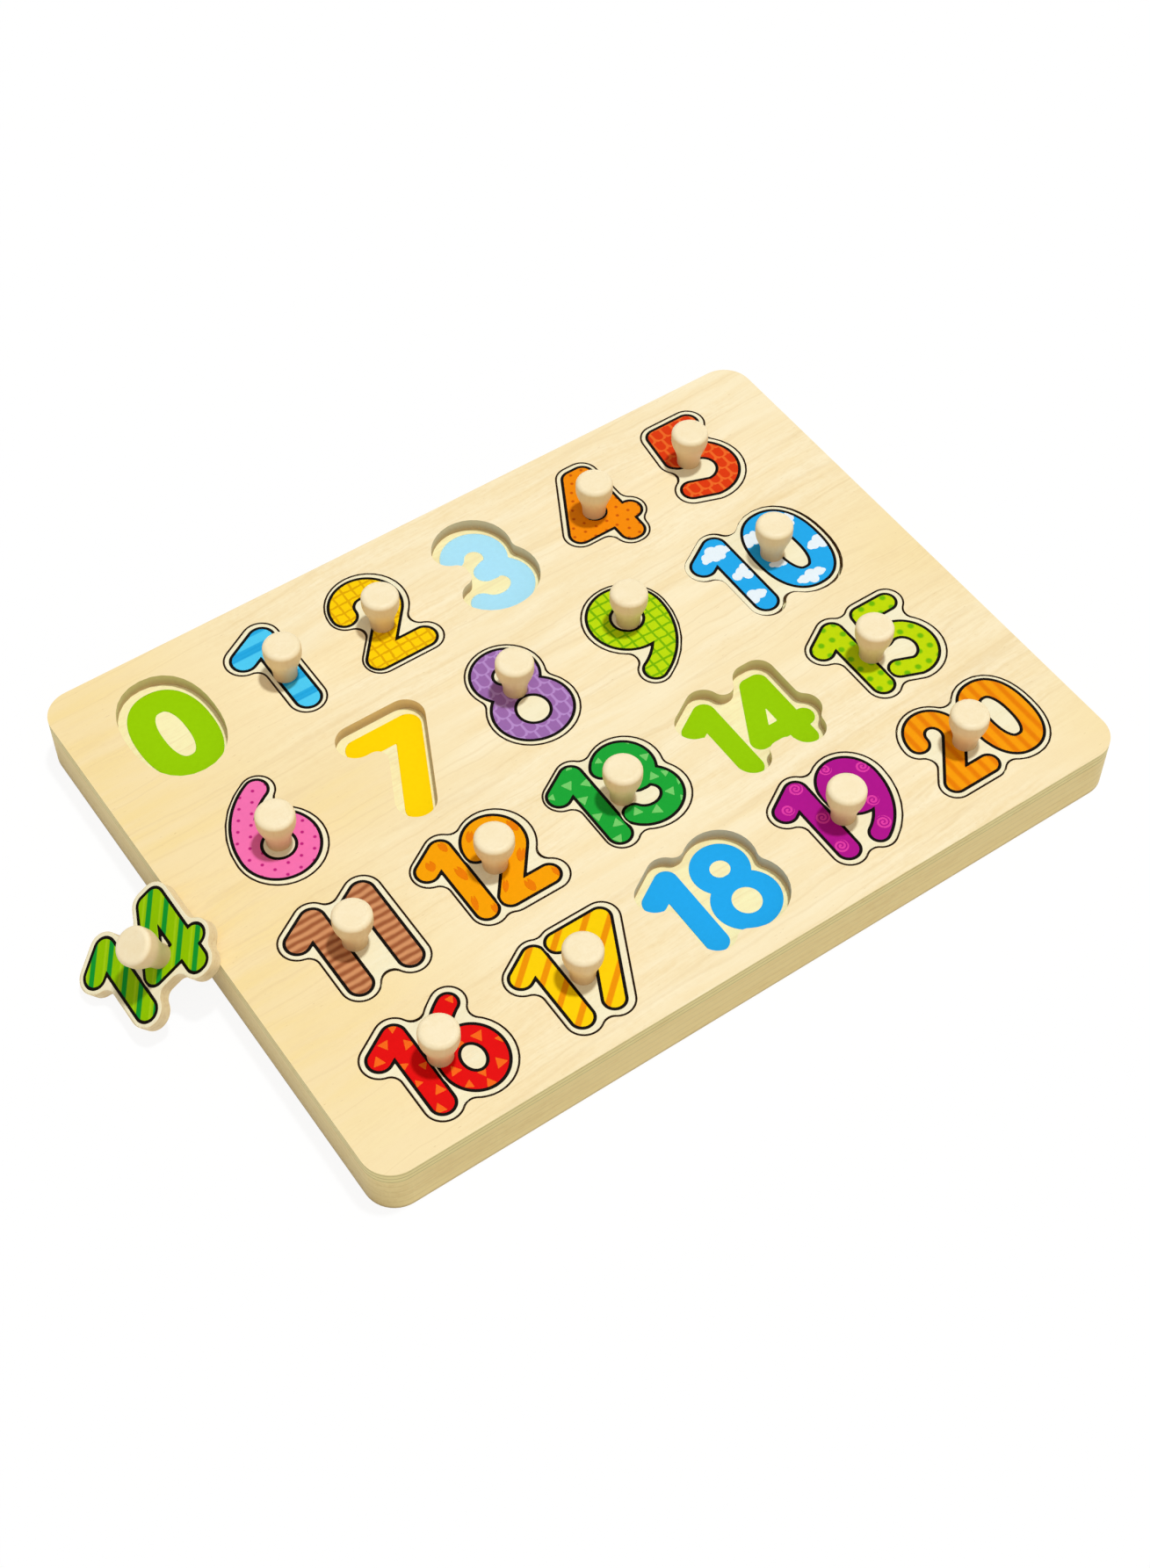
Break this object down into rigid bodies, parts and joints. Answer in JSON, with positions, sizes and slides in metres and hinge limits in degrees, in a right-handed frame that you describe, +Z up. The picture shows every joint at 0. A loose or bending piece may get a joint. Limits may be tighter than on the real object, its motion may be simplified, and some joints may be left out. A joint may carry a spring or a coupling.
{
  "type": "number peg puzzle",
  "caption": "Wooden peg puzzle: a round-cornered board with number-shaped recesses, and lift-out number tiles that each carry a turned peg.",
  "frame": {"origin": "centre of the board's underside", "axes": "+X along the rows of numbers, to the right as the numbers are read; +Y up the numbers; +Z up, out of the printed face"},
  "size_m": [0.3381, 0.225, 0.0375],
  "materials": {
    "backing_wood": "bare wood, satin, with thin plies at the edge",
    "panel_wood": "pale birch face, satin lacquer",
    "peg_wood": "turned wood, satin",
    "print_1": "wood with a matt print in sky blue, a black outline and a cream border",
    "print_2": "wood with a matt print in yellow, a black outline and a cream border",
    "print_4": "wood with a matt print in orange, a black outline and a cream border",
    "print_5": "wood with a matt print in red orange, a black outline and a cream border",
    "print_6": "wood with a matt print in pink, a black outline and a cream border",
    "print_8": "wood with a matt print in violet, a black outline and a cream border",
    "print_9": "wood with a matt print in lime, a black outline and a cream border",
    "print_10": "wood with a matt print in blue, a black outline and a cream border",
    "print_11": "wood with a matt print in brown, a black outline and a cream border",
    "print_12": "wood with a matt print in orange, a black outline and a cream border",
    "print_13": "wood with a matt print in green, a black outline and a cream border",
    "print_14": "wood with a matt print in grass green, a black outline and a cream border",
    "print_15": "wood with a matt print in lime, a black outline and a cream border",
    "print_16": "wood with a matt print in red, a black outline and a cream border",
    "print_17": "wood with a matt print in yellow, a black outline and a cream border",
    "print_19": "wood with a matt print in purple, a black outline and a cream border",
    "print_20": "wood with a matt print in orange, a black outline and a cream border"
  },
  "bodies": {
    "board": {"base_board": "backing_wood", "frame_board": "panel_wood"},
    "number_1": {"tile_1": "print_1", "peg_1": "peg_wood"},
    "number_2": {"tile_2": "print_2", "peg_2": "peg_wood"},
    "number_4": {"tile_4": "print_4", "peg_4": "peg_wood"},
    "number_5": {"tile_5": "print_5", "peg_5": "peg_wood"},
    "number_6": {"tile_6": "print_6", "peg_6": "peg_wood"},
    "number_8": {"tile_8": "print_8", "peg_8": "peg_wood"},
    "number_9": {"tile_9": "print_9", "peg_9": "peg_wood"},
    "number_10": {"tile_10": "print_10", "peg_10": "peg_wood"},
    "number_11": {"tile_11": "print_11", "peg_11": "peg_wood"},
    "number_12": {"tile_12": "print_12", "peg_12": "peg_wood"},
    "number_13": {"tile_13": "print_13", "peg_13": "peg_wood"},
    "number_14": {"tile_14": "print_14", "peg_14": "peg_wood"},
    "number_15": {"tile_15": "print_15", "peg_15": "peg_wood"},
    "number_16": {"tile_16": "print_16", "peg_16": "peg_wood"},
    "number_17": {"tile_17": "print_17", "peg_17": "peg_wood"},
    "number_19": {"tile_19": "print_19", "peg_19": "peg_wood"},
    "number_20": {"tile_20": "print_20", "peg_20": "peg_wood"}
  },
  "joints": [
    {"name": "number_1_lift", "type": "slide", "parent": "board", "child": "number_1", "axis": [0, 0, 1], "range_m": [0, 0.04]},
    {"name": "number_2_lift", "type": "slide", "parent": "board", "child": "number_2", "axis": [0, 0, 1], "range_m": [0, 0.04]},
    {"name": "number_4_lift", "type": "slide", "parent": "board", "child": "number_4", "axis": [0, 0, 1], "range_m": [0, 0.04]},
    {"name": "number_5_lift", "type": "slide", "parent": "board", "child": "number_5", "axis": [0, 0, 1], "range_m": [0, 0.04]},
    {"name": "number_6_lift", "type": "slide", "parent": "board", "child": "number_6", "axis": [0, 0, 1], "range_m": [0, 0.04]},
    {"name": "number_8_lift", "type": "slide", "parent": "board", "child": "number_8", "axis": [0, 0, 1], "range_m": [0, 0.04]},
    {"name": "number_9_lift", "type": "slide", "parent": "board", "child": "number_9", "axis": [0, 0, 1], "range_m": [0, 0.04]},
    {"name": "number_10_lift", "type": "slide", "parent": "board", "child": "number_10", "axis": [0, 0, 1], "range_m": [0, 0.04]},
    {"name": "number_11_lift", "type": "slide", "parent": "board", "child": "number_11", "axis": [0, 0, 1], "range_m": [0, 0.04]},
    {"name": "number_12_lift", "type": "slide", "parent": "board", "child": "number_12", "axis": [0, 0, 1], "range_m": [0, 0.04]},
    {"name": "number_13_lift", "type": "slide", "parent": "board", "child": "number_13", "axis": [0, 0, 1], "range_m": [0, 0.04]},
    {"name": "number_14_lift", "type": "slide", "parent": "board", "child": "number_14", "axis": [0, 0, 1], "range_m": [0, 0.04]},
    {"name": "number_15_lift", "type": "slide", "parent": "board", "child": "number_15", "axis": [0, 0, 1], "range_m": [0, 0.04]},
    {"name": "number_16_lift", "type": "slide", "parent": "board", "child": "number_16", "axis": [0, 0, 1], "range_m": [0, 0.04]},
    {"name": "number_17_lift", "type": "slide", "parent": "board", "child": "number_17", "axis": [0, 0, 1], "range_m": [0, 0.04]},
    {"name": "number_19_lift", "type": "slide", "parent": "board", "child": "number_19", "axis": [0, 0, 1], "range_m": [0, 0.04]},
    {"name": "number_20_lift", "type": "slide", "parent": "board", "child": "number_20", "axis": [0, 0, 1], "range_m": [0, 0.04]}
  ]
}
